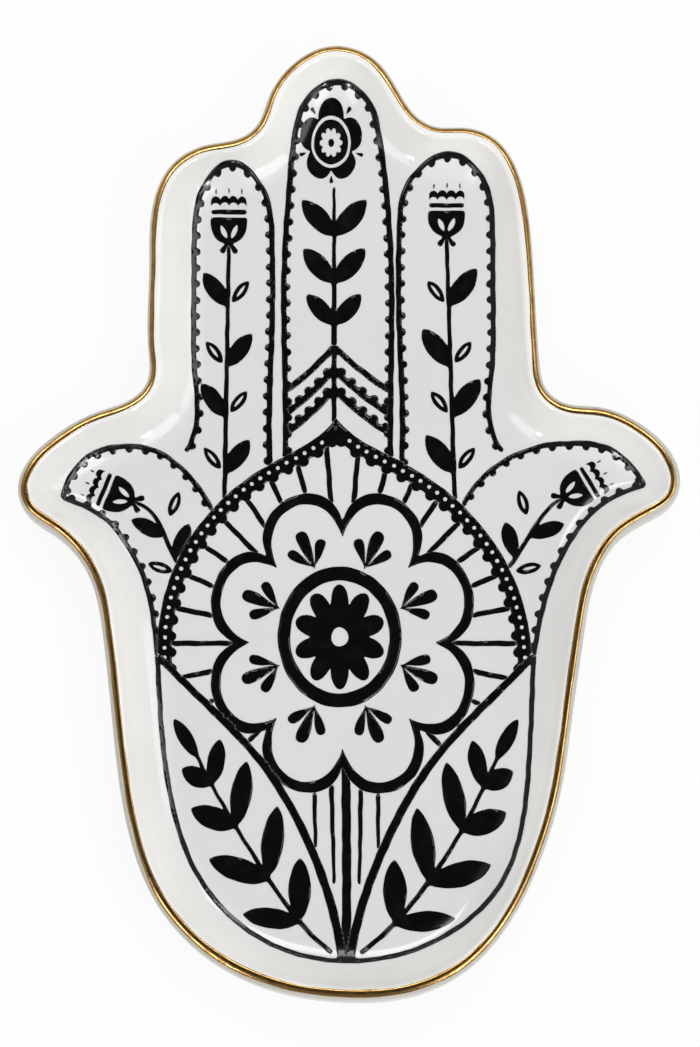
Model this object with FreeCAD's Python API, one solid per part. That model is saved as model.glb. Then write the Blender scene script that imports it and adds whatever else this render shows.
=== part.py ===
import FreeCAD, Part
import math
import os

# Shallow porcelain hand-shaped dish with a lustre rim line and a black on-glaze print.
# Millimetres. X runs across the hand, Y towards the fingertips and Z up from the table.

# Overall sizes of the dish
hand_length = 151.0
hand_width = 103.5
dish_height = 10.0
floor_height = 5.0

# Rim, wall and foot
nose_radius = 1.2
nose_end_angle = 25.0
cove_reach = 4.2
cove_weight_share = 0.8
wall_lean = 0.25
wall_foot_height = 3.0
foot_height = 1.2
foot_setback = 2.9
foot_ring_width = 1.4
foot_edge_radius = 0.25

# Coats on the clay
glaze_thickness = 0.3
gold_thickness = 0.1
gold_outer_angle = 135.0
gold_inner_angle = 75.0
ink_thickness = 0.12

# Lines and small forms of the print
print_margin = 0.3
line_width = 0.8
inner_line_width = 0.9
fine_line_width = 0.5
bump_radius = 0.6
bump_depth = 0.62
bump_pitch = 2.6
leaf_length = 6.6
leaf_width = 2.8
leaf_angle = 36.0
small_leaf_length = 4.3
small_leaf_width = 1.75
small_leaf_slit_width = 0.45
small_leaf_angle = 38.0
stem_gap = 0.25
thumb_leaf_length = 6.0
thumb_leaf_width = 2.5
thumb_small_leaf_length = 4.2
thumb_near_leaf_gap = 2.0
thumb_far_leaf_gap = 1.3

# Tulip heads
tulip_width = 5.8
tulip_cup_height = 4.3
tulip_band_height = 0.7
tulip_crown_height = 0.9
tulip_gap = 0.45
tulip_tick_length = 0.8
tulip_bow_length = 2.2
tulip_bow_width = 0.9
tulip_bow_angle = 35.0
tulip_slit_length = 2.3
tulip_slit_width = 0.75
tulip_slit_angle = 24.0
tulip_crown_lobes = 4

# Middle finger
rosette_radius = 5.0
rosette_stretch_share = 1.28
rosette_petals = 5
rosette_cusp_share = 0.67
rosette_ring_gap = 0.4
rosette_disc_radius = 2.7
daisy_radius = 1.8
daisy_petals = 10
daisy_eye_radius = 0.5
rosette_drop_length = 1.3
rosette_drop_width = 0.6
pair_leaf_length = 7.7
pair_leaf_width = 3.3
pair_leaf_angle = 41.0
pair_size_shares = (1.00, 0.96, 0.85)
chevron_line_width = 1.0
chevron_bump_radius = 0.75
chevron_bump_depth = 0.75
chevron_bump_pitch = 2.3
rosette_first_angle = -90.0

# Palm
palm_stretch_share = 1.15
flower_reach = 21.6
flower_petal_depth = 7.2
flower_line_width = 1.45
flower_petals = 8
ring_outer_radius = 9.7
ring_width = 1.95
palm_rosette_gap = 0.55
palm_rosette_cusp_share = 0.62
palm_rosette_petals = 10
palm_eye_radius = 1.3
sprig_ring_gap = 0.25
sprig_lobe_length = 6.5
sprig_side_length = 4.7
sprig_lobe_width = 2.1
sprig_side_width = 1.65
sprig_spread_angle = 37.0
arch_band_width = 2.2
arch_bump_radius = 0.85
arch_bump_depth = 0.75
arch_bump_pitch = 2.7
arch_dot_radius = 0.3
arch_dot_pitch = 1.6
ray_width = 0.85
rays_per_side = 13
ray_first_angle = -48.0
ray_last_angle = 90.0
branch_stem_width = 0.8
branch_leaf_length = 10.0
branch_leaf_width = 3.3
palm_line_width = 0.8
diagonal_line_width = 1.1
stalk_width = 1.4
trunk_width = 1.4

# Outline of the hand seen from above, anticlockwise from the heel of the palm
hand_outline_shares = [
    (-0.005, -0.500), (0.090, -0.495), (0.170, -0.471), (0.239, -0.421), (0.287, -0.355),
    (0.319, -0.281), (0.337, -0.200), (0.353, -0.125), (0.377, -0.053), (0.412, -0.017),
    (0.461, 0.004), (0.490, 0.019), (0.500, 0.041), (0.488, 0.068), (0.443, 0.099),
    (0.376, 0.118), (0.323, 0.123), (0.299, 0.136), (0.288, 0.165), (0.282, 0.230),
    (0.273, 0.315), (0.256, 0.367), (0.222, 0.401), (0.175, 0.413), (0.132, 0.414),
    (0.106, 0.423), (0.076, 0.451), (0.040, 0.485), (-0.025, 0.500), (-0.085, 0.481),
    (-0.123, 0.444), (-0.141, 0.415), (-0.163, 0.403), (-0.215, 0.395), (-0.268, 0.375),
    (-0.294, 0.342), (-0.303, 0.261), (-0.304, 0.180), (-0.308, 0.141), (-0.328, 0.127),
    (-0.380, 0.113), (-0.447, 0.087), (-0.489, 0.057), (-0.500, 0.032), (-0.489, 0.009),
    (-0.447, -0.013), (-0.394, -0.056), (-0.371, -0.120), (-0.355, -0.220), (-0.334, -0.318),
    (-0.290, -0.398), (-0.205, -0.459), (-0.100, -0.491),
]
outline_steps_per_span = 3
extreme_steps_per_span = 16
skin_faces_round = 8

# Places of the print as shares of the flat floor's width and length
finger_top_shares = {"left": 0.391, "right": 0.404}
finger_middle_shares = {"left": -0.193, "right": 0.161}
finger_reach_shares = {"left": 0.065, "right": 0.078}
finger_foot_share = 0.080
tulip_root_shares = {"left": (-0.200, 0.312), "right": (0.162, 0.320)}
finger_stem_foot_shares = {"left": (-0.207, 0.005), "right": (0.176, 0.005)}
finger_leaf_height_shares = (0.243, 0.175, 0.119, 0.056)
finger_leaf_size_shares = {"left": 1.0, "right": 1.14}
middle_finger_top_share = 0.487
middle_finger_middle_share = -0.019
middle_finger_reach_share = 0.089
middle_finger_foot_share = 0.084
rosette_place_share = (-0.030, 0.427)
middle_stem_x_share = -0.025
middle_stem_top_share = 0.378
middle_stem_foot_share = 0.090
pair_height_shares = (0.322, 0.269, 0.222)
chevron_top_shares = (0.198, 0.172, 0.150)
chevron_drop_share = 0.050
palm_middle_share = -0.006
flower_middle_share = (-0.011, -0.133)
ring_middle_share = (-0.0155, -0.1265)

# Half outline of a side finger's border, from its outer foot over the top to its inner foot
side_finger_shares = [
    (-1.20, 0.00), (-0.93, 0.10), (-0.97, 0.28), (-1.00, 0.55), (-0.99, 0.78), (-0.92, 0.88), (-0.62, 0.965),
    (0.00, 1.00), (0.62, 0.965), (0.92, 0.88), (0.99, 0.78), (1.00, 0.45), (1.00, -0.12),
]
middle_finger_shares = [
    (-1.00, -0.12), (-0.99, 0.25), (-1.00, 0.50), (-0.92, 0.70), (-0.80, 0.87), (-0.55, 0.965), (0.00, 1.00),
    (0.52, 0.965), (0.77, 0.87), (0.92, 0.70), (1.00, 0.50), (1.00, 0.25), (1.00, -0.12),
]

# Thumb borders from the thumb tip to the palm
thumb_upper_shares = {
    "left": [
        (-0.474, 0.027), (-0.463, 0.049), (-0.431, 0.073), (-0.369, 0.085), (-0.318, 0.080),
        (-0.281, 0.063), (-0.246, 0.036), (-0.215, 0.000),
    ],
    "right": [
        (0.489, 0.040), (0.462, 0.066), (0.425, 0.083), (0.369, 0.088), (0.315, 0.085),
        (0.259, 0.070), (0.210, 0.042), (0.180, 0.006),
    ],
}
thumb_lower_shares = {
    "left": [
        (-0.474, 0.027), (-0.428, 0.015), (-0.391, -0.003), (-0.367, -0.025), (-0.345, -0.052),
        (-0.328, -0.090), (-0.317, -0.147),
    ],
    "right": [
        (0.489, 0.040), (0.443, 0.030), (0.404, 0.012), (0.374, -0.012), (0.346, -0.045),
        (0.322, -0.090), (0.305, -0.147),
    ],
}
thumb_tulip_angles = {"left": 158.0, "right": 30.0}
thumb_stem_shares = {
    "left": [(-0.356, 0.024), (-0.325, 0.010), (-0.305, -0.014), (-0.270, -0.056)],
    "right": [(0.352, 0.028), (0.322, 0.010), (0.298, -0.014), (0.254, -0.056)],
}

# Leaves of a thumb stem: share along the stem, side, angle to the stem and gap from its middle
thumb_full_leaves = [(0.53, -1, 40.0, 0.0), (0.79, 1, 50.0, 0.0)]
thumb_slit_leaves = [(0.36, 1, 50.0, thumb_near_leaf_gap), (0.90, -1, 36.0, thumb_far_leaf_gap)]

# Right half of the palm lines, measured from the palm's middle line
arch_half_shares = [
    (0.296, -0.172), (0.295, -0.120), (0.280, -0.075), (0.252, -0.034), (0.194, 0.016), (0.105, 0.060),
    (0.018, 0.094), (-0.014, 0.118),
]
arch_lean_share = -0.016
diagonal_half_shares = [
    (0.311, -0.147), (0.225, -0.204), (0.143, -0.262), (0.070, -0.342), (0.018, -0.440), (0.006, -0.483),
]
palm_edge_half_shares = [
    (0.311, -0.147), (0.302, -0.240), (0.279, -0.330), (0.242, -0.392), (0.182, -0.440), (0.100, -0.473),
    (0.000, -0.485),
]
branch_half_shares = [(0.022, -0.476), (0.078, -0.440), (0.136, -0.385), (0.196, -0.320), (0.246, -0.258)]
stalk_top_share = -0.262
stalk_half_shares = [[(0.024, -0.290), (0.020, -0.400)], [(0.052, -0.290), (0.050, -0.360)]]

# Leaves of a palm branch: share along the stem, side, shares of leaf length and width, angle to the stem
branch_leaves = [
    (0.185, 1, 0.90, 1.00, 42.0), (0.190, -1, 1.00, 1.06, 41.0), (0.400, 1, 1.00, 1.16, 38.0),
    (0.410, -1, 1.15, 1.05, 40.0), (0.660, 1, 0.76, 1.10, 37.0), (0.660, -1, 1.06, 1.00, 40.0),
    (0.860, 1, 0.54, 0.94, 33.0), (0.860, -1, 0.74, 0.85, 38.0), (0.985, 1, 0.74, 0.70, 4.0),
]

print_width = hand_width - 2 * (cove_reach + print_margin)
print_length = hand_length - 2 * (cove_reach + print_margin)
flower_cusp_radius = flower_reach - flower_petal_depth
palm_rosette_radius = ring_outer_radius - ring_width - palm_rosette_gap
sprig_start_radius = ring_outer_radius + sprig_ring_gap


# Outline and its inward direction

def closed_curve(points, parameters):
    curve = Part.BSplineCurve()
    curve.interpolate(Points=points, PeriodicFlag=True, Parameters=parameters)
    return curve


def sampled(curve, steps):
    """Parameters at equal steps within each span of a closed curve."""
    knots = curve.getKnots()
    parameters = []
    for start, end in zip(knots[:-1], knots[1:]):
        for step in range(steps):
            parameters.append(start + (end - start) * step / steps)
    return parameters


def outline_curves():
    """The hand's outline, fitted to its width and length, and its inward unit direction."""
    raw = Part.BSplineCurve()
    corners = [FreeCAD.Vector(x * hand_width, y * hand_length, 0) for x, y in hand_outline_shares]
    raw.interpolate(Points=corners, PeriodicFlag=True)
    extremes = [raw.value(parameter) for parameter in sampled(raw, extreme_steps_per_span)]
    lowest_x = min(place.x for place in extremes)
    highest_x = max(place.x for place in extremes)
    lowest_y = min(place.y for place in extremes)
    highest_y = max(place.y for place in extremes)
    fit_x = hand_width / (highest_x - lowest_x)
    fit_y = hand_length / (highest_y - lowest_y)
    places = []
    inwards = []
    parameters = sampled(raw, outline_steps_per_span)
    for parameter in parameters:
        place = raw.value(parameter)
        x = (place.x - 0.5 * (lowest_x + highest_x)) * fit_x
        y = (place.y - 0.5 * (lowest_y + highest_y)) * fit_y
        places.append(FreeCAD.Vector(x, y, 0))
        direction = raw.tangent(parameter)[0]
        inwards.append(FreeCAD.Vector(-direction.y * fit_y, direction.x * fit_x, 0).normalize())
    parameters.append(raw.getKnots()[-1])
    return closed_curve(places, parameters), closed_curve(inwards, parameters)


edge_curve, inward_curve = outline_curves()
edge_poles = edge_curve.getPoles()
inward_poles = inward_curve.getPoles()
row_knots = edge_curve.getKnots()
row_multiplicities = edge_curve.getMultiplicities()
row_degree = edge_curve.Degree
last_knot = len(row_knots) - 1
row_splits = [row_knots[last_knot * index // skin_faces_round] for index in range(skin_faces_round + 1)]


# Skins swept round the hand

def row_poles(inset, height):
    """Poles of the outline moved inwards by inset and lifted to height."""
    lift = FreeCAD.Vector(0, 0, height)
    return [edge + inward * inset + lift for edge, inward in zip(edge_poles, inward_poles)]


def row_face(*insets, height):
    """Flat cap inside one row, or flat ring between two rows."""
    wires = []
    for inset in insets:
        curve = Part.BSplineCurve()
        poles = row_poles(inset, height)
        curve.buildFromPolesMultsKnots(poles, row_multiplicities, row_knots, True, row_degree)
        edges = [curve.toShape(start, end) for start, end in zip(row_splits[:-1], row_splits[1:])]
        wires.append(Part.Wire(edges))
    return Part.makeFace(wires, "Part::FaceMakerBullseye")


def band_faces(piece):
    """Skin swept round the hand in several faces by a piece of a section: a line of two points or a conic."""
    rows = [row_poles(inset, height) for inset, height, weight in piece]
    poles = [list(column) for column in zip(*rows)]
    weights = [[weight for inset, height, weight in piece] for column in poles]
    degree = len(piece) - 1
    ends = [degree + 1, degree + 1]
    surface = Part.BSplineSurface()
    surface.buildFromPolesMultsKnots(
        poles, row_multiplicities, ends, row_knots, [0.0, 1.0], True, False, row_degree, degree, weights
    )
    faces = []
    for start, end in zip(row_splits[:-1], row_splits[1:]):
        patch = surface.copy()
        patch.segment(start, end, 0.0, 1.0)
        faces.append(patch.toShape())
    return faces


def skin(section):
    """Every face swept by the pieces of a section."""
    return [face for piece in section for face in band_faces(piece)]


def closed_solid(faces):
    shell = Part.makeShell(faces)
    shell.sewShape()
    solid = Part.makeSolid(Part.Shell(shell.Faces))
    if solid.Volume < 0:
        solid.reverse()
    return solid


# Section of the rim

def nose_piece(start_angle, end_angle, centre_height, radius):
    """Round piece of the nose between two angles, counted from the inward direction."""
    middle = math.radians(0.5 * (start_angle + end_angle))
    half = math.radians(0.5 * (start_angle - end_angle))
    start = math.radians(start_angle)
    end = math.radians(end_angle)
    corner = radius / math.cos(half)
    return [
        (nose_radius + radius * math.cos(start), centre_height + radius * math.sin(start), 1.0),
        (nose_radius + corner * math.cos(middle), centre_height + corner * math.sin(middle), math.cos(half)),
        (nose_radius + radius * math.cos(end), centre_height + radius * math.sin(end), 1.0),
    ]


def rim_section(depth):
    """Pieces from the foot up the wall, over the nose and down the cove, at a depth under the glaze."""
    nose_height = dish_height - gold_thickness - nose_radius
    radius = nose_radius - depth
    wall_middle = 0.5 * (wall_foot_height + nose_height)
    slope = wall_lean / (wall_middle - wall_foot_height)
    base_corner = wall_lean + slope * (wall_foot_height - foot_height - depth)
    end = math.radians(nose_end_angle)
    nose_end_x = nose_radius + radius * math.cos(end)
    nose_end_z = nose_height + radius * math.sin(end)
    floor = floor_height - depth
    cove_corner = nose_end_x + (nose_end_z - floor) * math.tan(end)
    cove_end = cove_reach - depth * math.tan(0.5 * (0.5 * math.pi - end))
    return [
        [
            (foot_setback, foot_height + depth, 1.0),
            (base_corner + depth, foot_height + depth, cove_weight_share),
            (wall_lean + depth, wall_foot_height, 1.0),
        ],
        [(wall_lean + depth, wall_foot_height, 1.0), (depth, wall_middle, 1.0), (depth, nose_height, 1.0)],
        nose_piece(180.0, gold_outer_angle, nose_height, radius),
        nose_piece(gold_outer_angle, gold_inner_angle, nose_height, radius),
        nose_piece(gold_inner_angle, nose_end_angle, nose_height, radius),
        [(nose_end_x, nose_end_z, 1.0), (cove_corner, floor, cove_weight_share), (cove_end, floor, 1.0)],
    ]


glaze_section = rim_section(0)
clay_section = rim_section(glaze_thickness)
glaze_faces = skin(glaze_section)
clay_faces = skin(clay_section)
glaze_floor = row_face(glaze_section[-1][-1][0], height=floor_height)
clay_floor = row_face(clay_section[-1][-1][0], height=floor_height - glaze_thickness)
foot_inner = foot_setback + foot_ring_width
recess_ceiling = foot_height + glaze_thickness


def make_bisque_body():
    """Fired clay: foot ring, wall, rim and floor under the glaze."""
    low = foot_edge_radius
    foot_pieces = [
        [(foot_inner, recess_ceiling, 1.0), (foot_inner, foot_height, 1.0)],
        [(foot_inner, foot_height, 1.0), (foot_inner, low, 1.0)],
        [(foot_inner, low, 1.0), (foot_inner, 0, math.sqrt(0.5)), (foot_inner - low, 0, 1.0)],
        [(foot_setback + low, 0, 1.0), (foot_setback, 0, math.sqrt(0.5)), (foot_setback, low, 1.0)],
        [(foot_setback, low, 1.0), (foot_setback, foot_height, 1.0)],
        [(foot_setback, foot_height, 1.0), (foot_setback, foot_height + glaze_thickness, 1.0)],
    ]
    ceiling = row_face(foot_inner, height=recess_ceiling)
    standing_ring = row_face(foot_setback + low, foot_inner - low, height=0)
    return closed_solid([ceiling, clay_floor, standing_ring] + skin(foot_pieces) + clay_faces)


def make_glaze_coat():
    """Glass coat over the wall, rim and floor, from the foot ring inwards."""
    lip = [(foot_setback, foot_height, 1.0), (foot_setback, foot_height + glaze_thickness, 1.0)]
    return closed_solid(glaze_faces + [glaze_floor] + band_faces(lip) + clay_faces + [clay_floor])


def make_underside_glaze():
    """Glass coat on the recess inside the foot ring."""
    return row_face(foot_inner, height=foot_height).extrude(FreeCAD.Vector(0, 0, glaze_thickness))


def make_gold_rim_line():
    """Lustre band laid over the top of the nose."""
    nose_height = dish_height - gold_thickness - nose_radius
    under = glaze_section[3]
    over = nose_piece(gold_outer_angle, gold_inner_angle, nose_height, nose_radius + gold_thickness)
    return closed_solid(skin([under, over, [under[0], over[0]], [under[-1], over[-1]]]))


# Flat forms of the print

def floor_spot(x_share, y_share):
    return FreeCAD.Vector(x_share * print_width, y_share * print_length, floor_height)


def heading(angle):
    return FreeCAD.Vector(math.cos(math.radians(angle)), math.sin(math.radians(angle)), 0)


def turned_left(direction):
    return FreeCAD.Vector(-direction.y, direction.x, 0)


def film(wires):
    """Flat form inside the first wire and outside the others."""
    return Part.makeFace(wires, "Part::FaceMakerBullseye")


def flat_patch(points):
    """Flat form with straight sides between points."""
    return film([Part.makePolygon(points + points[:1])])


def joined(shapes):
    """One film where several forms cross."""
    if len(shapes) == 1:
        return shapes[0]
    return shapes[0].multiFuse(shapes[1:]).removeSplitter()


def curve_through(points):
    curve = Part.BSplineCurve()
    curve.interpolate(points)
    return curve.toShape()


def bezier(poles):
    curve = Part.BezierCurve()
    curve.setPoles(poles)
    return curve.toShape()


def arc_through(start, middle, end):
    return Part.Arc(start, middle, end).toShape()


def along_path(path, distance, offset):
    """Point at a distance along a path, set off to its left."""
    parameter = path.getParameterByLength(distance)
    return path.valueAt(parameter) + turned_left(path.tangentAt(parameter)) * offset


def stroke_side(points, start_width, end_width, side):
    """Points along one edge of a tapered stroke: side 1 for its left and -1 for its right."""
    path = curve_through(points)
    count = 2 * len(points) - 1
    places = []
    for index in range(count):
        share = index / (count - 1)
        offset = side * 0.5 * (start_width + (end_width - start_width) * share)
        places.append(along_path(path, path.Length * share, offset))
    return places


def ink_stroke(points, start_width, end_width):
    """Plain pen stroke along a path."""
    left = stroke_side(points, start_width, end_width, 1)
    right = stroke_side(points, start_width, end_width, -1)
    edges = [curve_through(left), Part.makeLine(left[-1], right[-1]), curve_through(right[::-1])]
    edges.append(Part.makeLine(right[0], left[0]))
    return film([Part.Wire(edges)])


def bumped_wire(points, start_width, end_width, side, radius=bump_radius, depth=bump_depth, pitch=bump_pitch):
    """Outline of a tapered stroke with round bumps on one side: 1 for its left and -1 for its right."""
    path = curve_through(points)
    plain = stroke_side(points, start_width, end_width, -side)
    bumps = max(1, round(path.Length / pitch))

    def rim(distance, rise):
        half_width = 0.5 * (start_width + (end_width - start_width) * distance / path.Length)
        return along_path(path, distance, side * (half_width + rise))

    edges = [Part.makeLine(plain[0], rim(0, 0))]
    last = edges[0].Vertexes[-1].Point
    for index in range(bumps):
        middle = path.Length * (index + 0.5) / bumps
        start = rim(middle - radius, 0)
        end = rim(middle + radius, 0)
        edges.append(Part.makeLine(last, start))
        edges.append(arc_through(start, rim(middle, depth), end))
        last = end
    finish = rim(path.Length, 0)
    edges.append(Part.makeLine(last, finish))
    edges.append(Part.makeLine(finish, plain[-1]))
    edges.append(curve_through(plain[::-1]))
    return Part.Wire(edges)


def leaf_wire(base, tip, width):
    """Pointed leaf: two bowed sides from base to tip."""
    along = tip - base
    bow = turned_left(along).normalize() * (width / 1.5)
    sides = []
    for side in (1, -1):
        sides.append(bezier([base, base + along * 0.22 + bow * side, base + along * 0.78 + bow * side, tip]))
    return Part.Wire(sides)


def leaf(base, angle, length, width, slit=0):
    """Leaf on a stem, with an open slit along its middle where one is asked for."""
    tip = base + heading(angle) * length
    wires = [leaf_wire(base, tip, width)]
    if slit > 0:
        wires.append(leaf_wire(base + (tip - base) * 0.25, base + (tip - base) * 0.8, slit))
    return film(wires)


def drop(base, angle, length, width):
    """Drop with a slender pointed base and a round end."""
    along = heading(angle) * length
    low_bow = turned_left(along).normalize() * (0.2 * width)
    high_bow = turned_left(along).normalize() * width
    sides = []
    for side in (1, -1):
        sides.append(bezier([
            base, base + along * 0.35 + low_bow * side, base + along + high_bow * side, base + along
        ]))
    return film([Part.Wire(sides)])


def around(middle, radius, angle, stretch):
    """Point round a middle, drawn out along Y by a stretch."""
    turn = math.radians(angle)
    return middle + FreeCAD.Vector(radius * math.cos(turn), radius * math.sin(turn) * stretch, 0)


def petal_wire(middle, count, cusp_radius, tip_radius, stretch, first_angle, fullness):
    """Ring of round petals between cusps: each petal is one curve whose handles lean out by a fullness."""
    step = 360.0 / count
    half = math.radians(0.5 * step)
    rise = (tip_radius - cusp_radius * math.cos(half)) / 0.75
    edges = []
    for index in range(count):
        angle = first_angle + step * (index + 0.5)
        chord_height = cusp_radius * math.cos(half)
        spread = cusp_radius * math.sin(half) * fullness
        handle_radius = math.hypot(chord_height + rise, spread)
        handle_turn = math.degrees(math.atan2(spread, chord_height + rise))
        edges.append(bezier([
            around(middle, cusp_radius, angle - 0.5 * step, stretch),
            around(middle, handle_radius, angle - handle_turn, stretch),
            around(middle, handle_radius, angle + handle_turn, stretch),
            around(middle, cusp_radius, angle + 0.5 * step, stretch),
        ]))
    return Part.Wire(edges)


def oval_wire(middle, radius, stretch):
    scale = FreeCAD.Matrix()
    scale.scale(1.0, stretch, 1.0)
    circle = Part.makeCircle(radius, FreeCAD.Vector(0, 0, 0)).transformGeometry(scale)
    circle.translate(middle)
    return Part.Wire([circle])


def mirrored(share, side):
    """Share of the palm's right half, put on the side asked for: 1 for right and -1 for left."""
    return floor_spot(palm_middle_share + side * share[0], share[1])


# Fingers

def finger_border(middle_share, reach_share, foot_share, top_share, shape_shares, flare_side, start_width):
    points = []
    for across, up in shape_shares:
        x_share = middle_share + flare_side * across * reach_share
        points.append(floor_spot(x_share, foot_share + up * (top_share - foot_share)))
    return film([bumped_wire(points, start_width, inner_line_width, -flare_side)])


def make_tulip(root, angle):
    """Tulip head opening along an angle: bow, cup with two slits, band, lobed crown and three ticks."""
    up = heading(angle)
    right = heading(angle - 90.0)
    half = 0.5 * tulip_width

    def local(across, along):
        return root + right * across + up * along

    bulge = half * 1.1
    bulge_height = tulip_cup_height * 0.3
    base_height = tulip_cup_height * 0.06
    cup_edges = [Part.makeLine(local(-half, tulip_cup_height), local(half, tulip_cup_height))]
    for side in (1, -1):
        corner = local(side * half, tulip_cup_height)
        cup_edges.append(bezier([
            corner, local(side * bulge, bulge_height), local(side * half * 0.5, base_height), local(0, 0)
        ]))
    slits = []
    bows = []
    for side in (1, -1):
        start = local(side * half * 0.12, tulip_cup_height * 0.24)
        end = start + heading(angle - side * tulip_slit_angle) * tulip_slit_length
        slits.append(leaf_wire(start, end, tulip_slit_width))
        bow_angle = angle + 180.0 + side * tulip_bow_angle
        bows.append(drop(local(0, 2 * base_height), bow_angle, tulip_bow_length, tulip_bow_width))
    cup = joined([film([Part.Wire(Part.sortEdges(cup_edges)[0])] + slits)] + bows)
    band_low = tulip_cup_height + tulip_gap
    band_high = band_low + tulip_band_height
    band_half = half * 0.96
    corners = [
        local(-band_half, band_low), local(band_half, band_low),
        local(band_half, band_high), local(-band_half, band_high),
    ]
    band = flat_patch(corners)
    crown_low = band_high + tulip_gap
    crown_high = crown_low + tulip_crown_height
    lobe = 2 * band_half / tulip_crown_lobes
    lobe_rise = 0.35 * lobe
    crown_edges = []
    for edge_height in (crown_low, crown_high):
        for index in range(tulip_crown_lobes):
            start = -band_half + index * lobe
            top = local(start + 0.5 * lobe, edge_height + lobe_rise)
            crown_edges.append(arc_through(local(start, edge_height), top, local(start + lobe, edge_height)))
    for edge_x in (band_half, -band_half):
        crown_edges.append(Part.makeLine(local(edge_x, crown_low), local(edge_x, crown_high)))
    crown = film([Part.Wire(Part.sortEdges(crown_edges)[0])])
    tick_low = crown_high + lobe_rise + 0.5 * tulip_gap
    ticks = []
    for place in (-0.7, 0, 0.7):
        ticks.append(leaf(local(place * half, tick_low), angle, tulip_tick_length, 0.5 * fine_line_width))
    return Part.Compound([cup, band, crown] + ticks)


def make_finger_stem(name, tulip):
    """Stem with a full and a slit leaf at each height, changing sides upwards."""
    side = -1 if name == "left" else 1
    x_share, y_share = tulip_root_shares[name]
    top = floor_spot(x_share, y_share)
    foot = floor_spot(*finger_stem_foot_shares[name])
    films = [ink_stroke([top, foot], 0.8 * line_width, line_width)]
    loose = []
    size = finger_leaf_size_shares[name]
    for index, height_share in enumerate(finger_leaf_height_shares):
        share = (y_share - height_share) / (y_share - finger_stem_foot_shares[name][1])
        node = top + (foot - top) * share
        full_side = side if index % 2 == 0 else -side
        films.append(leaf(node, 90.0 - full_side * leaf_angle, leaf_length * size, leaf_width * size))
        root = node + FreeCAD.Vector(-full_side * (0.5 * line_width + stem_gap), 0.1 * leaf_length, 0)
        angle = 90.0 + full_side * small_leaf_angle
        loose.append(leaf(root, angle, small_leaf_length, small_leaf_width, small_leaf_slit_width))
    return Part.Compound([joined(films).cut(tulip)] + loose)


def make_rosette():
    """Five-petalled rosette with a daisy cut through its disc and drops between its petals."""
    middle = floor_spot(*rosette_place_share)
    stretch = rosette_stretch_share
    first = rosette_first_angle
    cusp_radius = rosette_cusp_share * rosette_radius
    petals = petal_wire(middle, rosette_petals, cusp_radius, rosette_radius, stretch, first, 1.3)
    gap_radius = rosette_disc_radius + rosette_ring_gap
    solids = [film([petals, oval_wire(middle, gap_radius, stretch)])]
    daisy = petal_wire(middle, daisy_petals, 0.72 * daisy_radius, daisy_radius, stretch, first, 0.9)
    solids.append(film([oval_wire(middle, rosette_disc_radius, stretch), daisy]))
    solids.append(film([oval_wire(middle, daisy_eye_radius, stretch)]))
    for index in range(rosette_petals):
        angle = first + 360.0 * index / rosette_petals
        base = around(middle, 0.80 * rosette_radius, angle, stretch)
        solids.append(drop(base, angle, rosette_drop_length, rosette_drop_width))
    return Part.Compound(solids)


def make_middle_stem():
    """Tapered stem with three pairs of full leaves."""
    top = floor_spot(middle_stem_x_share, middle_stem_top_share)
    foot = floor_spot(middle_stem_x_share, chevron_top_shares[0])
    films = [ink_stroke([top, 0.5 * (top + foot), foot], 0.6 * line_width, inner_line_width)]
    for height_share, size_share in zip(pair_height_shares, pair_size_shares):
        root = floor_spot(middle_stem_x_share, height_share)
        for side in (1, -1):
            angle = 90.0 - side * pair_leaf_angle
            films.append(leaf(root, angle, pair_leaf_length * size_share, pair_leaf_width * size_share))
    return joined(films)


def make_chevrons():
    """Three chevrons hung on a stem, the lower two with bumps on their upper sides."""
    films = []
    top = floor_spot(middle_stem_x_share, chevron_top_shares[0])
    foot = floor_spot(middle_stem_x_share, middle_stem_foot_share)
    films.append(ink_stroke([top, foot], line_width, line_width))
    for index, top_share in enumerate(chevron_top_shares):
        for side in (1, -1):
            reach_share = middle_finger_reach_share - 0.25 * chevron_line_width / print_width
            end_share = middle_finger_middle_share + side * reach_share
            halfway_share = 0.5 * (middle_stem_x_share + end_share)
            points = [
                floor_spot(middle_stem_x_share, top_share),
                floor_spot(halfway_share, top_share - 0.56 * chevron_drop_share),
                floor_spot(end_share, top_share - chevron_drop_share),
            ]
            if index == 0:
                films.append(ink_stroke(points, chevron_line_width, chevron_line_width))
            else:
                width = chevron_line_width
                films.append(film([bumped_wire(
                    points, width, width, side, chevron_bump_radius, chevron_bump_depth, chevron_bump_pitch
                )]))
    return joined(films)


# Thumbs

def make_thumb_border(upper_shares, lower_shares, side):
    upper = [floor_spot(*share) for share in upper_shares]
    lower = [floor_spot(*share) for share in lower_shares]
    films = [film([bumped_wire(upper, line_width, line_width, side)])]
    films.append(film([bumped_wire(lower, line_width, line_width, -side)]))
    return joined(films)


def make_thumb_stem(name, tulip):
    """Curved stem from the tulip to the palm with two full and two slit leaves."""
    side = 1 if name == "left" else -1
    points = [floor_spot(*share) for share in thumb_stem_shares[name]]
    path = curve_through(points)
    films = [ink_stroke(points, 0.75 * line_width, line_width)]
    loose = []

    def stem_place(share, offset):
        distance = path.Length * share
        tangent = path.tangentAt(path.getParameterByLength(distance))
        return along_path(path, distance, offset), math.degrees(math.atan2(-tangent.y, -tangent.x))

    for share, turn, spread, gap in thumb_full_leaves:
        root, back = stem_place(share, side * turn * gap)
        films.append(leaf(root, back - side * turn * spread, thumb_leaf_length, thumb_leaf_width))
    for share, turn, spread, gap in thumb_slit_leaves:
        root, back = stem_place(share, side * turn * gap)
        angle = back - side * turn * spread
        loose.append(leaf(root, angle, thumb_small_leaf_length, small_leaf_width, small_leaf_slit_width))
    return Part.Compound([joined(films).cut(tulip)] + loose)


# Palm

def mirrored_points(half_shares, side):
    return [mirrored(share, side) for share in half_shares]


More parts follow.
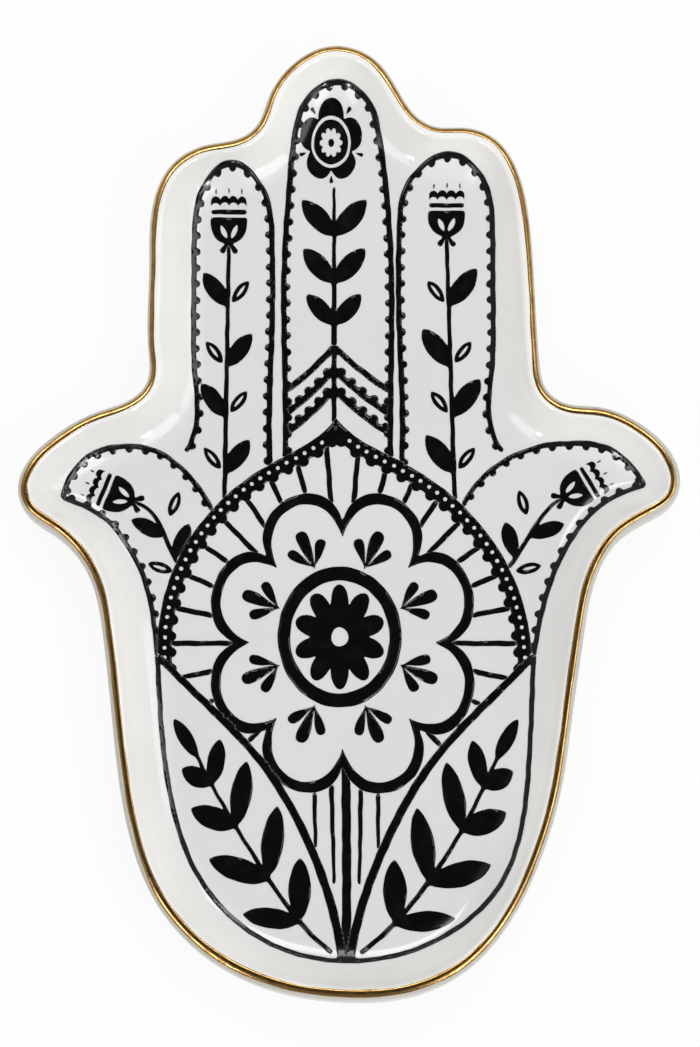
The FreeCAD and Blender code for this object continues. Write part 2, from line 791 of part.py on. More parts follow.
def make_palm_border():
    """Line round the lower palm with the two diagonals that meet at its heel."""
    edge = mirrored_points(palm_edge_half_shares, -1) + mirrored_points(palm_edge_half_shares[:-1], 1)[::-1]
    films = [ink_stroke(edge, palm_line_width, palm_line_width)]
    for side in (1, -1):
        diagonal = mirrored_points(diagonal_half_shares, side)
        films.append(ink_stroke(diagonal, diagonal_line_width, trunk_width))
    return joined(films)


def make_leaf_zones():
    """Trimming patches between each diagonal and the palm's edge line."""
    zones = []
    for side in (1, -1):
        diagonal = mirrored_points(diagonal_half_shares, side)
        zones.append(flat_patch(diagonal + mirrored_points(palm_edge_half_shares, side)[:0:-1]))
    return zones


def make_ray_field():
    """Trimming patch inside the arch and above the diagonals."""
    points = arch_points(1)[:-1] + arch_points(-1)[-2::-1]
    points += mirrored_points(diagonal_half_shares, -1) + mirrored_points(diagonal_half_shares, 1)[::-1]
    return flat_patch(points)


def arch_points(side):
    """Middle line of one half of the arch, leaning over as it climbs."""
    low = arch_half_shares[0][1]
    rise = arch_half_shares[-1][1] - low
    points = []
    for share in arch_half_shares:
        lean = FreeCAD.Vector(arch_lean_share * print_width * (share[1] - low) / rise, 0, 0)
        points.append(mirrored(share, side) + lean)
    return points


def past_middle(side):
    """Trimming patch over everything past the line under the arch's peak, seen from one side."""
    middle_x = (palm_middle_share + arch_lean_share) * print_width
    far_x = middle_x - side * print_width
    corners = []
    for x, y_side in ((middle_x, -1), (far_x, -1), (far_x, 1), (middle_x, 1)):
        corners.append(FreeCAD.Vector(x, y_side * print_length, floor_height))
    return flat_patch(corners)


def make_arch_patch(side):
    """Trimming patch inside the arch's outer edge, up to the middle line."""
    outer = stroke_side(arch_points(side), arch_band_width, arch_band_width, -side)
    corner = FreeCAD.Vector(outer[-1].x, outer[0].y, floor_height)
    edges = [curve_through(outer), Part.makeLine(outer[-1], corner), Part.makeLine(corner, outer[0])]
    return film([Part.Wire(edges)]).cut(past_middle(side))


def arch_dot_wires(side):
    """Round openings along the middle of the band, clear of its peak."""
    path = curve_through(arch_points(side))
    middle_x = (palm_middle_share + arch_lean_share) * print_width
    wires = []
    for index in range(math.floor(path.Length / arch_dot_pitch)):
        dot = along_path(path, (index + 1.0) * arch_dot_pitch, 0)
        if side * (dot.x - middle_x) > 0.8 * arch_dot_pitch:
            wires.append(oval_wire(dot, arch_dot_radius, 1.0))
    return wires


def make_arch_half(side, openings):
    """Half of the arch, cut off on the palm's middle line."""
    width = arch_band_width
    band = bumped_wire(
        arch_points(side), width, width, side, arch_bump_radius, arch_bump_depth, arch_bump_pitch
    )
    return film([band] + openings).cut(past_middle(side))


def flower_wire(cusp_radius, tip_radius):
    middle = floor_spot(*flower_middle_share)
    return petal_wire(middle, flower_petals, cusp_radius, tip_radius, palm_stretch_share, 90.0, 1.12)


def make_rays():
    """Thin lines fanning out from the flower to the arch and the diagonals."""
    middle = floor_spot(*flower_middle_share)
    step = (ray_last_angle - ray_first_angle) / rays_per_side
    rays = []
    for index in range(rays_per_side):
        for side in (1, -1):
            angle = ray_first_angle + step * (index + 0.5)
            turn = angle if side > 0 else 180.0 - angle
            start = around(middle, flower_cusp_radius, turn, palm_stretch_share)
            end = around(middle, 2.0 * flower_reach, turn, palm_stretch_share)
            rays.append(ink_stroke([start, end], ray_width, ray_width))
    return Part.Compound(rays)


def make_ring():
    middle = floor_spot(*ring_middle_share)
    inner = oval_wire(middle, ring_outer_radius - ring_width, palm_stretch_share)
    return film([oval_wire(middle, ring_outer_radius, palm_stretch_share), inner])


def make_palm_rosette():
    middle = floor_spot(*ring_middle_share)
    radius = palm_rosette_radius
    cusp_radius = palm_rosette_cusp_share * radius
    petals = petal_wire(middle, palm_rosette_petals, cusp_radius, radius, palm_stretch_share, 72.0, 1.2)
    return film([petals, oval_wire(middle, palm_eye_radius, palm_stretch_share)])


def make_sprigs():
    """A three-lobed sprig in each petal of the flower."""
    middle = floor_spot(*ring_middle_share)
    sprigs = []
    for index in range(flower_petals):
        angle = 90.0 + 360.0 * (index + 0.5) / flower_petals
        base = around(middle, sprig_start_radius, angle, palm_stretch_share)
        lobes = [drop(base, angle, sprig_lobe_length, sprig_lobe_width)]
        root = base + heading(angle) * (0.06 * sprig_lobe_length)
        for side in (1, -1):
            lobe_angle = angle + side * sprig_spread_angle
            lobes.append(drop(root, lobe_angle, sprig_side_length, sprig_side_width))
        sprigs.append(joined(lobes))
    return Part.Compound(sprigs)


def make_branch(side):
    """Laurel branch: a stem from the heel with leaves turned to both sides."""
    points = mirrored_points(branch_half_shares, side)
    path = curve_through(points)
    films = [ink_stroke(points, branch_stem_width, 0.7 * branch_stem_width)]
    for stem_share, turn, length_share, width_share, spread in branch_leaves:
        distance = path.Length * stem_share
        tangent = path.tangentAt(path.getParameterByLength(distance))
        angle = math.degrees(math.atan2(tangent.y, tangent.x)) - side * turn * spread
        root = along_path(path, distance, 0)
        films.append(leaf(root, angle, branch_leaf_length * length_share, branch_leaf_width * width_share))
    return joined(films)


def make_stalk():
    """Stalk lines running from the flower down into the heel."""
    top = floor_spot(palm_middle_share, stalk_top_share)
    foot = floor_spot(palm_middle_share, diagonal_half_shares[-1][1])
    films = [ink_stroke([top, foot], stalk_width, stalk_width)]
    for half_shares in stalk_half_shares:
        for side in (1, -1):
            films.append(ink_stroke(mirrored_points(half_shares, side), line_width, fine_line_width))
    return Part.Compound(films)


def make_print():
    """Every form of the print, each one trimmed where it meets its neighbours."""
    palm_border = make_palm_border()
    leaf_zones = make_leaf_zones()
    ray_field = make_ray_field()
    heel_trims = [palm_border] + leaf_zones
    arch_bands = [make_arch_half(side, []) for side in (1, -1)]
    arch_patches = [make_arch_patch(side) for side in (1, -1)]
    arch = joined([make_arch_half(side, arch_dot_wires(side)) for side in (1, -1)]).cut(heel_trims)
    flower_patch = film([flower_wire(flower_cusp_radius + 1.6 * flower_line_width, flower_reach)])
    petal_patch = film([flower_wire(flower_cusp_radius, flower_reach - flower_line_width)])
    flower = flower_patch.cut([petal_patch] + heel_trims)
    rays = make_rays().common(ray_field).cut(arch_bands + [flower_patch, palm_border])
    middle_border = finger_border(
        middle_finger_middle_share, middle_finger_reach_share, middle_finger_foot_share,
        middle_finger_top_share, middle_finger_shares, 1, inner_line_width
    )
    chevrons = make_chevrons().cut([middle_border] + arch_patches)
    forms = {
        "middle_finger_border": middle_border.cut(arch_patches),
        "middle_finger_rosette": make_rosette(),
        "middle_finger_leaf_stem": make_middle_stem().cut(chevrons),
        "middle_finger_chevrons": chevrons,
        "palm_dotted_arch": arch,
        "palm_rays": rays,
        "palm_flower_outline": flower,
        "palm_ring": make_ring(),
        "palm_rosette": make_palm_rosette(),
        "palm_sprigs": make_sprigs(),
        "palm_border_lines": palm_border,
        "palm_stalk_lines": make_stalk().cut([flower_patch] + heel_trims),
    }
    for name, side in (("left", -1), ("right", 1)):
        border = finger_border(
            finger_middle_shares[name], finger_reach_shares[name], finger_foot_share, finger_top_shares[name],
            side_finger_shares, -side, line_width
        )
        tulip = make_tulip(floor_spot(*tulip_root_shares[name]), 90.0)
        thumb_border = make_thumb_border(thumb_upper_shares[name], thumb_lower_shares[name], side)
        thumb_tulip = make_tulip(floor_spot(*thumb_stem_shares[name][0]), thumb_tulip_angles[name])
        forms[name + "_finger_border"] = border.cut(arch_patches)
        forms[name + "_finger_tulip"] = tulip
        forms[name + "_finger_leaf_stem"] = make_finger_stem(name, tulip).cut(arch_patches)
        forms[name + "_thumb_border"] = thumb_border.cut(arch_patches + [palm_border])
        forms[name + "_thumb_tulip"] = thumb_tulip
        forms[name + "_thumb_leaf_stem"] = make_thumb_stem(name, thumb_tulip).cut(arch_patches)
        forms[name + "_palm_branch"] = make_branch(side).cut(palm_border)
    return forms


os.makedirs("parts", exist_ok=True)
pieces = {
    "bisque_body": make_bisque_body(),
    "glaze_coat": make_glaze_coat(),
    "underside_glaze": make_underside_glaze(),
    "gold_rim_line": make_gold_rim_line(),
}
for name, forms in make_print().items():
    inks = [face.extrude(FreeCAD.Vector(0, 0, ink_thickness)) for face in forms.Faces]
    pieces[name] = Part.Compound(inks)
for name, shape in pieces.items():
    shape.exportStep("parts/" + name + ".step")
    print(name, len(shape.Solids), "solids", round(shape.Volume, 2), "cubic mm")
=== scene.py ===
import math

import bmesh
import bpy
import numpy as np
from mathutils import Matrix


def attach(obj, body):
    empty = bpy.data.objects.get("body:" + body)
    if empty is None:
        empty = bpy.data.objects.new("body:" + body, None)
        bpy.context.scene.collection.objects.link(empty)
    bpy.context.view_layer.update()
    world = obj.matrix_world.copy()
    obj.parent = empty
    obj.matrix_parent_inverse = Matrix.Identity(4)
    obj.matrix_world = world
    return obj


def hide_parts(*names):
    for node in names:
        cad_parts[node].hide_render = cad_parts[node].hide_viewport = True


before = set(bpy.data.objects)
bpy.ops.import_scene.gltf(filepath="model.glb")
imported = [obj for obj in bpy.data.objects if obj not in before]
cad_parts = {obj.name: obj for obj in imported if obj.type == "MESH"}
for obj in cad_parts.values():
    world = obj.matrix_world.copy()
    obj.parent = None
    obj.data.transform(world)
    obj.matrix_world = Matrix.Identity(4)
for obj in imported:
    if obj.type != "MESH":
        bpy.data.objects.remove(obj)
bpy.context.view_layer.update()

print("frame loaded:", len(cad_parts), "solids")

mm = 0.001
perMetre = 1000
white = (1.0, 1.0, 1.0, 1.0)
noiseLow, noiseHigh = 0.3, 0.7  # where nearly all of a noise's values lie

# the whole dish, in millimetres
dish = {
    "width": 103.5, "length": 151.0, "floor": 5.0, "noseRadius": 1.2, "noseHeight": 8.7,
    "noseEnd": 40.0,        # degrees above the inward direction where the rim's nose turns into the cove
    "coveEnd": 9.5,         # inset at which the cove has died out in the floor
    "wallLean": 0.25, "wallFoot": 3.0, "footHeight": 1.2, "footSetback": 2.9, "footWidth": 1.4,
    "tuckWeight": 0.8, "wallWeight": 1.0,
    "bedEdge": 0.05, "bedStep": 0.08, "bedInset": 0.2, "bedRise": 0.2,  # channel that the ring sits in
    "spineReach": 45.0,     # the flat floor and underside are fanned in to a line of this half length
    "fanStart": 4.2,        # inset at which evenly set rows end and the fan of the floor begins
    "stepsAround": 1180, "stepsPerSpan": 200,
    "tuckRows": 14, "wallRows": 10, "noseRows": 22, "coveRows": 9, "floorRows": 26, "recessRows": 10,
}

# the hand's outline as shares of its width and length, anticlockwise from the heel
handOutline = np.array([
    (-0.005, -0.500), (0.090, -0.495), (0.170, -0.471), (0.239, -0.421), (0.287, -0.355),
    (0.319, -0.281), (0.337, -0.200), (0.353, -0.125), (0.377, -0.053), (0.412, -0.017),
    (0.461, 0.004), (0.490, 0.019), (0.500, 0.041), (0.488, 0.068), (0.443, 0.099),
    (0.376, 0.118), (0.323, 0.123), (0.299, 0.136), (0.288, 0.165), (0.282, 0.230),
    (0.273, 0.315), (0.256, 0.367), (0.222, 0.401), (0.175, 0.413), (0.132, 0.414),
    (0.106, 0.423), (0.076, 0.451), (0.040, 0.485), (-0.025, 0.500), (-0.085, 0.481),
    (-0.123, 0.444), (-0.141, 0.415), (-0.163, 0.403), (-0.215, 0.395), (-0.268, 0.375),
    (-0.294, 0.342), (-0.303, 0.261), (-0.304, 0.180), (-0.308, 0.141), (-0.328, 0.127),
    (-0.380, 0.113), (-0.447, 0.087), (-0.489, 0.057), (-0.500, 0.032), (-0.489, 0.009),
    (-0.447, -0.013), (-0.394, -0.056), (-0.371, -0.120), (-0.355, -0.220), (-0.334, -0.318),
    (-0.290, -0.398), (-0.205, -0.459), (-0.100, -0.491),
])


def closedCurve(points, count):
    # closed cubic through the points, knots spaced by chord, bending continuous at the knots; equal arc steps
    ahead = np.roll(points, -1, 0)
    chord = np.linalg.norm(ahead - points, axis=1)
    behind = np.roll(chord, 1)
    slope = (ahead - points) / chord[:, None]
    size = len(points)
    system = np.zeros((size, size))
    index = np.arange(size)
    system[index, index] = 2 * (behind + chord)
    system[index, (index + 1) % size] = chord
    system[index, index - 1] = behind
    bend = np.linalg.solve(system, 6 * (slope - np.roll(slope, 1, 0)))
    steps = dish["stepsPerSpan"]
    span = np.repeat(index, steps)
    along = np.tile(np.arange(steps) / steps, size)[:, None]
    width = chord[span][:, None]
    a, b = 1 - along, along
    dense = a * points[span] + b * ahead[span] + (
        (a ** 3 - a) * bend[span] + (b ** 3 - b) * np.roll(bend, -1, 0)[span]) * width ** 2 / 6
    low, high = dense.min(0), dense.max(0)
    dense = (dense - (low + high) / 2) / (high - low) * (dish["width"], dish["length"])
    loop = np.vstack([dense, dense[:1]])
    run = np.concatenate([[0], np.cumsum(np.linalg.norm(np.diff(loop, axis=0), axis=1))])
    wanted = np.arange(count) / count * run[-1]
    return np.stack([np.interp(wanted, run, loop[:, axis]) for axis in (0, 1)], 1), run[-1]


edge, edgeLength = closedCurve(handOutline * (dish["width"], dish["length"]), dish["stepsAround"])
forward = np.roll(edge, -1, 0) - np.roll(edge, 1, 0)
inward = np.stack([-forward[:, 1], forward[:, 0]], 1) / np.linalg.norm(forward, axis=1)[:, None]
aroundShare = np.arange(dish["stepsAround"]) / dish["stepsAround"]

# smooth distance: half the power of distance, the sum beside a straight edge at distance 1, places at a time
nearness = {"halfPower": 4, "straightSum": 0.9817, "batch": 4000}


def edgeDistance(places):
    # (sum of step / distance^8 / straight sum)^(-1/7), which is the plain distance beside a straight rim
    found = np.empty(len(places))
    step = edgeLength / len(edge)
    batch = nearness["batch"]
    half = nearness["halfPower"]
    for start in range(0, len(places), batch):
        part = places[start:start + batch]
        square = ((part[:, None, 0] - edge[None, :, 0]) ** 2 + (part[:, None, 1] - edge[None, :, 1]) ** 2)
        total = np.sum(step / square ** half, axis=1) / nearness["straightSum"]
        found[start:start + batch] = total ** (-1 / (2 * half - 1))
    return found


noseEnd = math.radians(dish["noseEnd"])
coveStart = dish["noseRadius"] * (1 + math.cos(noseEnd))
coveTop = dish["noseHeight"] + dish["noseRadius"] * math.sin(noseEnd)
covePower = (dish["coveEnd"] - coveStart) / (coveTop - dish["floor"]) / math.tan(noseEnd)


def skinHeight(distance):
    # cove: floor + drop * (1 - share)^power, with the power that keeps the nose's slope where they meet
    share = np.clip((distance - coveStart) / (dish["coveEnd"] - coveStart), 0, 1)
    return dish["floor"] + (coveTop - dish["floor"]) * (1 - share) ** covePower


def gridFaces(rows, columns):
    # four-cornered faces between neighbouring rows, closed round the columns
    row, column = np.meshgrid(np.arange(rows - 1), np.arange(columns), indexing="ij")
    after = (column + 1) % columns
    return np.stack([row * columns + column, row * columns + after,
                     (row + 1) * columns + after, (row + 1) * columns + column], -1).reshape(-1, 4)


weldDistance = 2e-6


def meshPiece(name, points, faces, values=None):
    # puts arrays in millimetres into a mesh in metres, welds seams and poles, and turns faces outwards
    mesh = bpy.data.meshes.new(name)
    mesh.vertices.add(len(points))
    mesh.vertices.foreach_set("co", (points * mm).astype(np.float32).ravel())
    mesh.loops.add(faces.size)
    mesh.loops.foreach_set("vertex_index", faces.ravel().astype(np.int32))
    mesh.polygons.add(len(faces))
    mesh.polygons.foreach_set("loop_start", np.arange(0, faces.size, faces.shape[1], dtype=np.int32))
    mesh.update(calc_edges=True)
    for key, data in (values or {}).items():
        mesh.attributes.new(key, "FLOAT", "POINT").data.foreach_set("value", data.astype(np.float32))
    work = bmesh.new()
    work.from_mesh(mesh)
    bmesh.ops.remove_doubles(work, verts=work.verts, dist=weldDistance)
    bmesh.ops.recalc_face_normals(work, faces=work.faces)
    work.to_mesh(mesh)
    work.free()
    mesh.polygons.foreach_set("use_smooth", np.ones(len(mesh.polygons), dtype=bool))
    piece = bpy.data.objects.new(name, mesh)
    bpy.context.scene.collection.objects.link(piece)
    return piece


def linear(hexCode):
    # sRGB hex to linear: c / 12.92 below 0.04045, else ((c + 0.055) / 1.055)^2.4
    parts = [int(hexCode[place:place + 2], 16) / 255 for place in (0, 2, 4)]
    return [c / 12.92 if c <= 0.04045 else ((c + 0.055) / 1.055) ** 2.4 for c in parts] + [1.0]


def addNode(tree, kind, settings=None, sockets=None):
    # adds one node, sets its properties, then its inputs by name or in order: values, or outputs to link
    node = tree.nodes.new(kind)
    for key, value in (settings or {}).items():
        setattr(node, key, value)
    for key, value in sockets.items() if isinstance(sockets, dict) else enumerate(sockets or ()):
        if isinstance(value, bpy.types.NodeSocket):
            tree.links.new(value, node.inputs[key])
        else:
            node.inputs[key].default_value = value
    return node


def newMaterial(name):
    # an empty node material with its tree, its shader and its own Object coordinates
    material = bpy.data.materials.new(name)
    material.use_nodes = True
    tree = material.node_tree
    tree.nodes.clear()
    shader = addNode(tree, "ShaderNodeBsdfPrincipled")
    addNode(tree, "ShaderNodeOutputMaterial", None, {"Surface": shader.outputs["BSDF"]})
    return material, tree, shader, addNode(tree, "ShaderNodeTexCoord").outputs["Object"]


def layered(tree, base, layers):
    # base colour with each layer's colour over it: under * (1 - share) + colour * share
    tint = linear(base)
    for share, colour in layers:
        sockets = {0: share, 6: tint, 7: linear(colour)}
        tint = addNode(tree, "ShaderNodeMix", {"data_type": "RGBA"}, sockets).outputs[2]
    return tint


def finished(piece, material, slot, *nodes):
    # gives a piece its one material and its place on the body, and hides the solids that it stands for
    piece.data.materials.clear()
    piece.data.materials.append(material)
    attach(piece, "root")
    if nodes:
        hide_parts(*nodes)
    return piece


# clear feldspathic glaze over white slip-cast porcelain: even, very glossy, a trace of wave from firing
glaze = {
    # the wall colour is painted shade, darker and warmer, on the outer wall and underside
    "margin": "f1f0ed", "floor": "dbdbda", "pooled": "d2d2d0", "wall": "bfbbb0", "speck": "6b5a48",
    # painted shade: the floor colour is greyer than the margin, coming in between marginEnd and floorStart
    "marginEnd": 3.5, "floorStart": 9.0, "wallEnd": 0.5, "rimStart": 1.0,  # insets in millimetres
    "cloudMm": 22.0, "cloudLow": 0.45, "cloudHigh": 0.75, "cloudShare": 0.35,
    "speckCellMm": 15.0, "speckCore": 0.008, "speckEdge": 0.014,  # core and edge as shares of a cell
    "speckLot": 0.80, "speckLotEnd": 0.81,  # cells whose lot is higher than this have a speck
    "waveMm": 9.0, "waveDepth": 0.00006, "peelMm": 1.3, "peelDepth": 0.000003,  # depths in metres
    "roughness": 0.07, "ior": 1.52,
}


def makeGlazeMaterial():
    # colour by inset: margin, then floor and outer wall darker as painted shade; pooled clouds and a few
    # specks; two waves of bump
    material, tree, shader, place = newMaterial("fired clear glaze on porcelain")
    inset = addNode(tree, "ShaderNodeAttribute", {"attribute_name": "inset"}).outputs["Fac"]
    cloud, wave, peel = [
        addNode(tree, "ShaderNodeTexNoise", None, {
            "Vector": place, "Scale": perMetre / glaze[size], "Detail": detail}).outputs["Fac"]
        for size, detail in (("cloudMm", 2.0), ("waveMm", 1.0), ("peelMm", 1.0))
    ]
    cells = addNode(tree, "ShaderNodeTexVoronoi", None, {
        "Vector": place, "Scale": perMetre / glaze["speckCellMm"]}).outputs
    lot = addNode(tree, "ShaderNodeSeparateColor", None, {"Color": cells["Color"]}).outputs["Red"]
    inside, shadedWallShare, pooled, dot, chosen = [
        addNode(tree, "ShaderNodeMapRange", None, change).outputs["Result"]
        for change in (  # value, from low, from high, to low, to high
            (inset, glaze["marginEnd"], glaze["floorStart"], 0.0, 1.0),
            # painted shade on the wall: full up to wallEnd, gone by rimStart
            (inset, glaze["wallEnd"], glaze["rimStart"], 1.0, 0.0),
            (cloud, glaze["cloudLow"], glaze["cloudHigh"], 0.0, glaze["cloudShare"]),
            (cells["Distance"], glaze["speckCore"], glaze["speckEdge"], 1.0, 0.0),
            (lot, glaze["speckLot"], glaze["speckLotEnd"], 0.0, 1.0),
        )
    ]
    speck = addNode(tree, "ShaderNodeMath", {"operation": "MULTIPLY"}, (dot, chosen)).outputs[0]
    tint = layered(tree, glaze["margin"], (
        # painted shade: the floor greyer than the margin in the cove
        (inside, glaze["floor"]),
        (shadedWallShare, glaze["wall"]),  # painted shade: outer wall and underside tinted darker and warmer than the margin
        (pooled, glaze["pooled"]),
        (speck, glaze["speck"]),
    ))
    tree.links.new(tint, shader.inputs["Base Color"])
    waved = addNode(tree, "ShaderNodeBump", None, {"Distance": glaze["waveDepth"], "Height": wave})
    peeled = addNode(tree, "ShaderNodeBump", None, {
        "Distance": glaze["peelDepth"], "Height": peel, "Normal": waved.outputs[0]})
    tree.links.new(peeled.outputs[0], shader.inputs["Normal"])
    shader.inputs["Roughness"].default_value = glaze["roughness"]
    shader.inputs["IOR"].default_value = glaze["ior"]
    return material


def makeMottled(name, finish):
    # one noise spreads between two colours and, where they differ, two roughnesses; a finer one is the bump
    material, tree, shader, place = newMaterial(name)
    coarse, fine = [
        addNode(tree, "ShaderNodeTexNoise", None, {
            "Vector": place, "Scale": perMetre / finish[size], "Detail": detail}).outputs["Fac"]
        for size, detail in (("mottleMm", 3.0), ("grainMm", 2.0))
    ]
    share = addNode(tree, "ShaderNodeMapRange", None, (
        coarse, finish["mottleLow"], finish["mottleHigh"], 0.0, finish["otherShare"])).outputs["Result"]
    tint = layered(tree, finish["colour"], ((share, finish["other"]),))
    tree.links.new(tint, shader.inputs["Base Color"])
    if "rough" in finish:
        roughness = addNode(tree, "ShaderNodeMapRange", None, (
            coarse, noiseLow, noiseHigh, finish["smooth"], finish["rough"])).outputs["Result"]
        tree.links.new(roughness, shader.inputs["Roughness"])
    else:
        shader.inputs["Roughness"].default_value = finish["smooth"]
    grain = addNode(tree, "ShaderNodeBump", None, {
        "Strength": finish["grainStrength"], "Distance": finish["grainDepth"], "Height": fine})
    tree.links.new(grain.outputs[0], shader.inputs["Normal"])
    shader.inputs["Metallic"].default_value = finish["metallic"]
    if "ior" in finish:
        shader.inputs["IOR"].default_value = finish["ior"]
    return material


# unglazed foot: fine fired clay, dry and slightly gritty, a little dirt rubbed into it
# its grit, like the grain and pits of the next two, is drawn coarser than the real, so that it shows
# the depths of the grain are in metres
bareClay = {
    "colour": "d9d2c4", "other": "b7aa96", "mottleMm": 6.0, "mottleLow": 0.4, "mottleHigh": 0.75,
    "otherShare": 0.8, "grainMm": 0.35, "grainStrength": 0.6, "grainDepth": 0.00005,
    "smooth": 0.85, "metallic": 0.0,
}

# bright gold lustre, brushed on by hand and fired: a metal film with faint brush drag and thin worn places
lustre = {
    "colour": "d6ad69", "other": "94673a", "mottleMm": 1.8, "mottleLow": 0.42, "mottleHigh": 0.68,
    "otherShare": 0.7, "grainMm": 0.5, "grainStrength": 0.5, "grainDepth": 0.00002,
    "smooth": 0.12, "rough": 0.3, "metallic": 1.0,
}

# black on-glaze enamel from a transfer: dense, glossy, slightly raised, with small pits and thin spots
enamel = {
    "colour": "060607", "other": "0f0f11", "mottleMm": 2.2, "mottleLow": 0.5, "mottleHigh": 0.8,
    "otherShare": 0.8, "grainMm": 0.45, "grainStrength": 0.4, "grainDepth": 0.00002,
    "smooth": 0.08, "rough": 0.17, "metallic": 0.0, "ior": 1.52,
}

glazeMaterial = makeGlazeMaterial()
clayMaterial = makeMottled("unglazed ground porcelain", bareClay)
lustreMaterial = makeMottled("hand brushed gold lustre", lustre)
enamelMaterial = makeMottled("fired black transfer enamel", enamel)
print("materials made")


def conic(first, corner, last, weight, count):
    # ((1-t)^2 first + 2t(1-t) weight corner + t^2 last) / ((1-t)^2 + 2t(1-t) weight + t^2)
    t = np.linspace(0, 1, count)[:, None]
    shares = np.hstack([(1 - t) ** 2, 2 * t * (1 - t) * weight, t ** 2])
    return shares @ np.array([first, corner, last]) / shares.sum(1)[:, None]


def fan(inset, height, steps, towardsSpine):
    # rows from the outline's inset row to the middle line: (1-s) row + s spine, s growing as a square
    start = edge + inward * inset
    reach = dish["spineReach"]
    spine = np.stack([np.zeros(len(edge)), np.clip(np.round(start[:, 1]), -reach, reach)], 1)
    shares = (np.arange(steps + 1) / steps) ** 2
    rows = np.array([start * (1 - share) + spine * share for share in shares])
    rows = rows if towardsSpine else rows[::-1]
    return np.concatenate([rows, np.full(rows.shape[:2] + (1,), height)], 2)


def makeDish():
    # closed skin: recess under the dish, channel over the foot, tucked base, wall, nose, cove and floor
    lean = dish["wallLean"]
    foot = dish["footHeight"]
    back = dish["footSetback"]
    ringInside = back + dish["footWidth"]
    wallMiddle = (dish["wallFoot"] + dish["noseHeight"]) / 2
    tuck = lean + lean / (wallMiddle - dish["wallFoot"]) * (dish["wallFoot"] - foot)
    turn = np.radians(np.linspace(180, dish["noseEnd"], dish["noseRows"]))[1:]
    radius = dish["noseRadius"]
    wallFoot = (lean, dish["wallFoot"])
    bedLow, bedHigh = foot + dish["bedStep"], foot + dish["bedRise"]
    section = np.vstack([
        [(ringInside - dish["bedEdge"], bedLow), (ringInside - dish["bedInset"], bedHigh)],
        [(back + dish["bedInset"], bedHigh), (back + dish["bedEdge"], bedLow)],
        conic((back, foot), (tuck, foot), wallFoot, dish["tuckWeight"], dish["tuckRows"]),
        conic(wallFoot, (0, wallMiddle), (0, dish["noseHeight"]), dish["wallWeight"], dish["wallRows"])[1:],
        np.stack([radius * (1 + np.cos(turn)), dish["noseHeight"] + radius * np.sin(turn)], 1),
    ])
    rows = edge[None] + inward[None] * section[:, None, :1]
    swept = np.concatenate([rows, np.broadcast_to(section[:, None, 1:], rows.shape[:2] + (1,))], 2)
    insets = np.linspace(coveStart, dish["fanStart"], dish["coveRows"])[1:]
    coveRows = edge[None] + inward[None] * insets[:, None, None]
    floorRows = fan(dish["fanStart"], dish["floor"], dish["floorRows"], True)[1:, :, :2]
    top = np.vstack([coveRows, floorRows])
    distance = edgeDistance(top.reshape(-1, 2)).reshape(top.shape[:2])
    blend = np.clip((insets - coveStart) / (dish["fanStart"] - coveStart), 0, 1)[:, None]
    distance[:len(insets)] = distance[:len(insets)] * blend + insets[:, None] * (1 - blend)
    upper = np.concatenate([top, skinHeight(distance)[..., None]], 2)
    recess = fan(ringInside, foot, dish["recessRows"], False)
    points = np.concatenate([recess, swept, upper])
    skinInset = np.where(section[:, 1] > dish["noseHeight"], section[:, 0], 0.0)
    sides = np.tile(skinInset[:, None], len(edge))
    insetValues = np.concatenate([np.zeros(recess.shape[:2]), sides, distance])
    faces = gridFaces(len(points), len(edge))
    return meshPiece("glazed_dish", points.reshape(-1, 3), faces, {"inset": insetValues.ravel()})


# the bare ring's edge rounding and its hidden top, in millimetres
ring = {"rounding": 0.25, "top": 1.35, "cornerRows": 6}


def makeFootRing():
    # ring of bare clay: a rounded band swept round the hand, its top hidden in the dish
    back = dish["footSetback"]
    inside = back + dish["footWidth"]
    corner = np.radians(np.linspace(0, 90, ring["cornerRows"]))
    rounding = ring["rounding"]
    top = ring["top"]
    outer = np.stack([back + rounding * (1 - np.sin(corner[::-1])), rounding * (1 - np.cos(corner[::-1]))], 1)
    inner = np.stack([inside - rounding * (1 - np.sin(corner)), rounding * (1 - np.cos(corner))], 1)
    section = np.vstack([[(back, top)], outer, inner, [(inside, top)], [(back, top)]])
    rows = edge[None] + inward[None] * section[:, None, :1]
    points = np.concatenate([rows, np.broadcast_to(section[:, None, 1:], rows.shape[:2] + (1,))], 2)
    return meshPiece("foot_ring", points.reshape(-1, 3), gridFaces(len(section), len(edge)))


finished(makeDish(), glazeMaterial, "white_glaze", "glaze_coat", "underside_glaze")
finished(makeFootRing(), clayMaterial, "bisque_clay", "bisque_body")
print("dish and foot ring made")

# the brushed rim line: where it runs on the nose, in degrees from the inward direction, and its width
rimLine = {
    "fingers": 118.0, "palm": 98.0, "heel": 100.0, "fingersMm": 0.95, "palmMm": 1.05, "heelMm": 1.25,
    "zones": [-75, -60, -40, 16, 27, 75],   # plan heights between which heel, palm and fingers pass over
    "filmMm": 0.05, "sunkMm": 0.04, "filmPower": 6, "topColumns": 13, "backColumns": 5,
    "wanderDegrees": 6.0, "wanderFading": 0.5,
    "wanderWaves": [(3, 0.1), (7, 0.62), (13, 0.33), (29, 0.8), (47, 0.15)],
    "swellShare": 0.12, "swellFading": 0.3,
    "swellWaves": [(5, 0.4), (11, 0.9), (23, 0.2), (61, 0.7)],
}


def waves(share, turnsAndPhases, fading):
    # sum of sines with whole numbers of turns round the rim, each weaker by turns^-fading
    total = np.zeros_like(share)
    for turns, phase in turnsAndPhases:
        total += np.sin(2 * math.pi * (turns * share + phase)) * turns ** -fading
    return total


